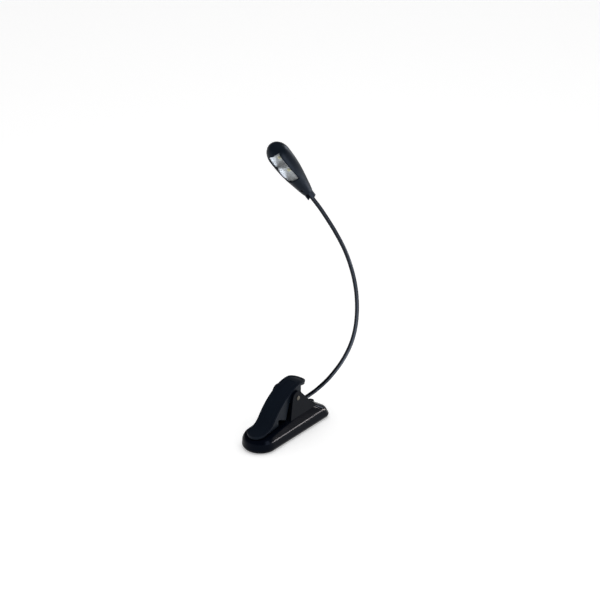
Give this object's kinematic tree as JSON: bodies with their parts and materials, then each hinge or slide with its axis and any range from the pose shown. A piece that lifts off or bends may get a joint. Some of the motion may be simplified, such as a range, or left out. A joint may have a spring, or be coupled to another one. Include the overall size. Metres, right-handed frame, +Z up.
{
  "type": "clip-on reading lamp",
  "caption": "Clip-on reading lamp: battery case with a spring clip on top, a bendable neck and a teardrop head with lamps behind a clear window.",
  "frame": {"origin": "middle of the flat underside of the battery case", "axes": "+X from the nose of the case to its tail, +Z up, +Y to the left when looking along +X"},
  "size_m": [0.1431, 0.0763, 0.3064],
  "materials": {
    "gloss_housing": "injection-moulded ABS, polished mould",
    "satin_black": "injection-moulded ABS, fine spark-eroded texture",
    "inner_moulding": "black ABS, plain moulded",
    "collar_black": "black nylon collar, moulded",
    "neck_sleeve": "extruded soft PVC tube over the neck wire",
    "grip_rubber": "moulded elastomer pad",
    "zinc_screw": "black-zinc plated steel screw",
    "polished_steel": "ground steel pin with rolled ends",
    "spring_steel": "drawn spring wire",
    "neck_wire": "annealed steel wire, wound",
    "ferrule_metal": "turned and crimped aluminium",
    "nickel": "nickel-plated spring steel",
    "cell_sleeve": "plain shrink sleeve on a steel can",
    "board": "green solder mask on glass-epoxy laminate",
    "white_board": "white solder mask on laminate",
    "switch_black": "moulded switch body",
    "switch_white": "moulded acetal plunger",
    "component": "moulded component bodies",
    "mirror_plating": "vacuum-metallised ABS",
    "clear_lens": "clear polycarbonate",
    "lamp_chip": "yellow phosphor over a white package"
  },
  "bodies": {
    "base": {"base_upper_shell": "gloss_housing", "nose_floor": "gloss_housing", "electronics_floor": "inner_moulding", "shell_screws": "zinc_screw", "battery_cells": "cell_sleeve", "contact_plates": "nickel", "battery_springs": "nickel", "circuit_board": "board", "power_switch": "switch_black", "board_components": "component", "base_grip_pad": "grip_rubber", "pivot_pin": "polished_steel", "torsion_spring": "spring_steel", "neck_ferrule": "ferrule_metal", "neck_core_1": "neck_wire", "neck_sleeve_1": "neck_sleeve"},
    "battery_cover": {"battery_cover": "gloss_housing"},
    "lever": {"jaw_lever": "satin_black", "jaw_grip_pad": "grip_rubber"},
    "button": {"power_button": "satin_black", "switch_plunger": "switch_white"},
    "neck_link_2": {"neck_core_2": "neck_wire", "neck_sleeve_2": "neck_sleeve"},
    "neck_link_3": {"neck_core_3": "neck_wire", "neck_sleeve_3": "neck_sleeve"},
    "neck_link_4": {"neck_core_4": "neck_wire", "neck_sleeve_4": "neck_sleeve"},
    "neck_link_5": {"neck_core_5": "neck_wire", "neck_sleeve_5": "neck_sleeve"},
    "head": {"neck_core_6": "neck_wire", "neck_sleeve_6": "neck_sleeve", "head_collar": "collar_black", "head_front_shell": "satin_black", "head_back_shell": "satin_black", "reflector": "mirror_plating", "lens": "clear_lens", "led_board": "white_board", "leds": "lamp_chip", "head_screw": "zinc_screw"}
  },
  "joints": [
    {"name": "cover_slide", "type": "slide", "parent": "base", "child": "battery_cover", "axis": [1, 0, 0], "range_m": [0, 0.008]},
    {"name": "lever_hinge", "type": "hinge", "parent": "base", "child": "lever", "pos_m": [0.00675, 0, 0.041], "axis": [0, 1, 0], "range_deg": [0, 25], "stiffness_Nm_per_rad": 0.8, "springref_deg": -28.65, "deforming": ["torsion_spring"]},
    {"name": "button_press", "type": "slide", "parent": "base", "child": "button", "axis": [0, 0, -1], "range_m": [0, 0.001], "stiffness_N_per_m": 1000, "springref_m": -0.001},
    {"name": "neck_root_bend", "type": "hinge", "parent": "base", "child": "neck_link_2", "pos_m": [0.06216, -0.00774, 0.03535], "axis": [0.7771, 0.6293, 0], "range_deg": [-30, 30]},
    {"name": "neck_low_sway", "type": "hinge", "parent": "neck_link_2", "child": "neck_link_3", "pos_m": [0.07858, -0.02541, 0.0739], "axis": [0.5885, -0.7267, -0.3544], "range_deg": [-25, 25]},
    {"name": "neck_middle_bend", "type": "hinge", "parent": "neck_link_3", "child": "neck_link_4", "pos_m": [0.08292, -0.03078, 0.13045], "axis": [0.7771, 0.6293, 0], "range_deg": [-30, 30]},
    {"name": "neck_high_sway", "type": "hinge", "parent": "neck_link_4", "child": "neck_link_5", "pos_m": [0.07326, -0.01885, 0.19175], "axis": [0.5725, -0.7069, 0.4154], "range_deg": [-25, 25]},
    {"name": "head_tilt", "type": "hinge", "parent": "neck_link_5", "child": "head", "pos_m": [0.05567, 0.00287, 0.2409], "axis": [0.7771, 0.6293, 0], "range_deg": [-30, 30]}
  ]
}
